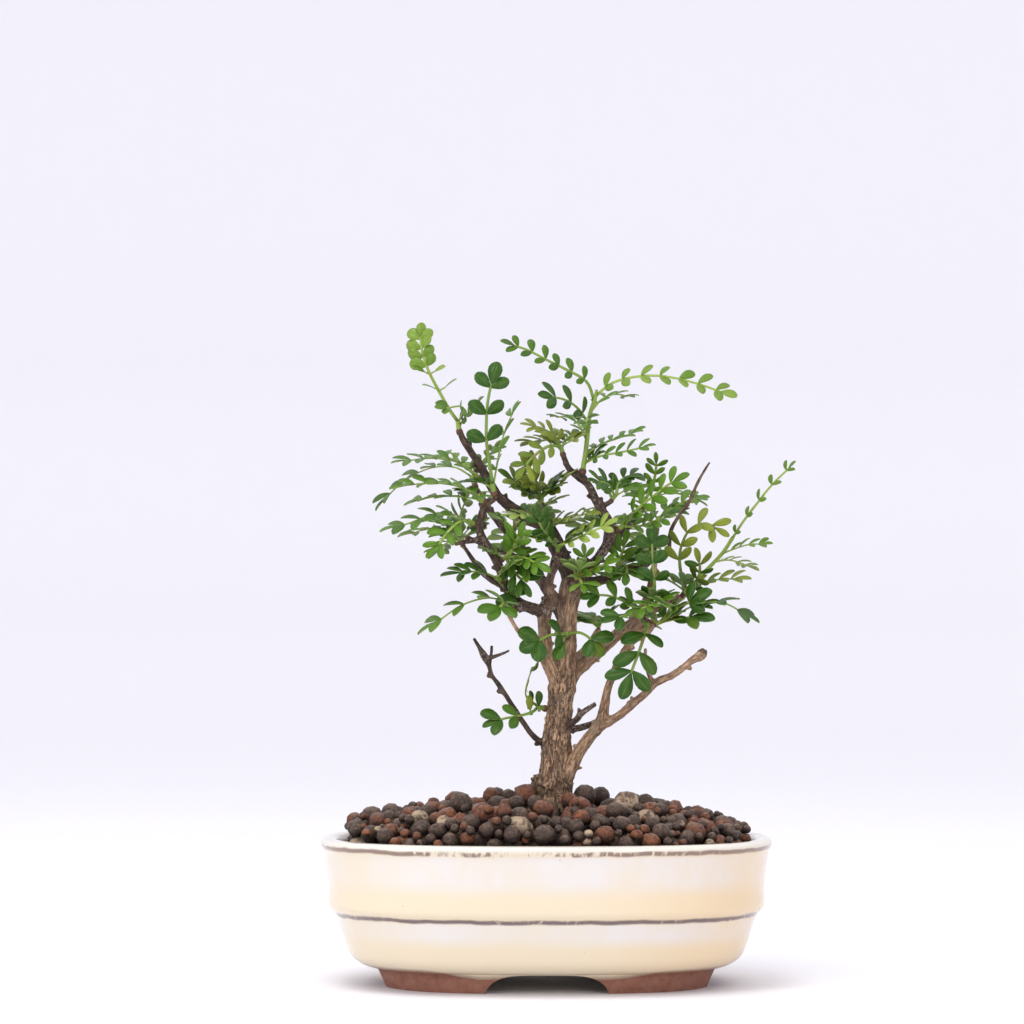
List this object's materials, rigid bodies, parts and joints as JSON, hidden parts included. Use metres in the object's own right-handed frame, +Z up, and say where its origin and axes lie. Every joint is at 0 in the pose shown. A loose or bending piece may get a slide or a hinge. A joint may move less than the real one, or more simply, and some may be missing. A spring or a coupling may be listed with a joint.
{
  "type": "chinese pepper bonsai in a pot",
  "caption": "Small Chinese pepper tree with compound leaves, trained as a bonsai and standing in granular soil in an oval glazed pot on feet.",
  "frame": {"origin": "middle of the whole object's bounding box in plan, on the plane that the pot's feet stand on", "axes": "+Z up; +X to the right along the pot's length as seen from the pictured front; +Y away from that front, across the pot"},
  "size_m": [0.158, 0.1116, 0.2191],
  "materials": {
    "glazed_pot": "gloss",
    "soil_granules": "matte",
    "bark": "matte",
    "leaf_young": "satin",
    "leaf_fresh": "satin",
    "leaf_mature": "satin",
    "leaf_reddish": "satin"
  },
  "bodies": {
    "root": {"pot": "glazed_pot", "soil": "soil_granules", "wood": "bark", "spray_top_left": "leaf_young", "spray_left_upright": "leaf_fresh", "spray_left_high": "leaf_fresh", "spray_left_middle": "leaf_fresh", "spray_left_low": "leaf_fresh", "spray_back_left_end": "leaf_mature", "spray_broken_stub": "leaf_fresh", "spray_left_bend": "leaf_mature", "spray_left_spur": "leaf_mature", "spray_trunk_front": "leaf_mature", "spray_front_right": "leaf_mature", "spray_trunk_left": "leaf_fresh", "spray_crown_top": "leaf_fresh", "spray_crown_middle": "leaf_fresh", "spray_right_branch": "leaf_fresh", "spray_right_stub_high": "leaf_mature", "spray_back_right_end": "leaf_young", "spray_right_stub": "leaf_fresh", "spray_left_limb_tip": "leaf_reddish", "spray_right_facing": "leaf_mature", "spray_main_front": "leaf_young", "spray_knot_left": "leaf_mature", "spray_knot_right": "leaf_fresh", "spray_right_arm": "leaf_fresh", "spray_far_right": "leaf_fresh", "spray_back_left_twig": "leaf_mature", "spray_back_middle": "leaf_fresh", "spray_back_right_twig": "leaf_mature", "spray_back_low": "leaf_mature", "spray_leader_top": "leaf_fresh", "spray_leader_front": "leaf_young", "spray_left_inner": "leaf_mature", "spray_dark_branch": "leaf_mature"}
  },
  "joints": []
}
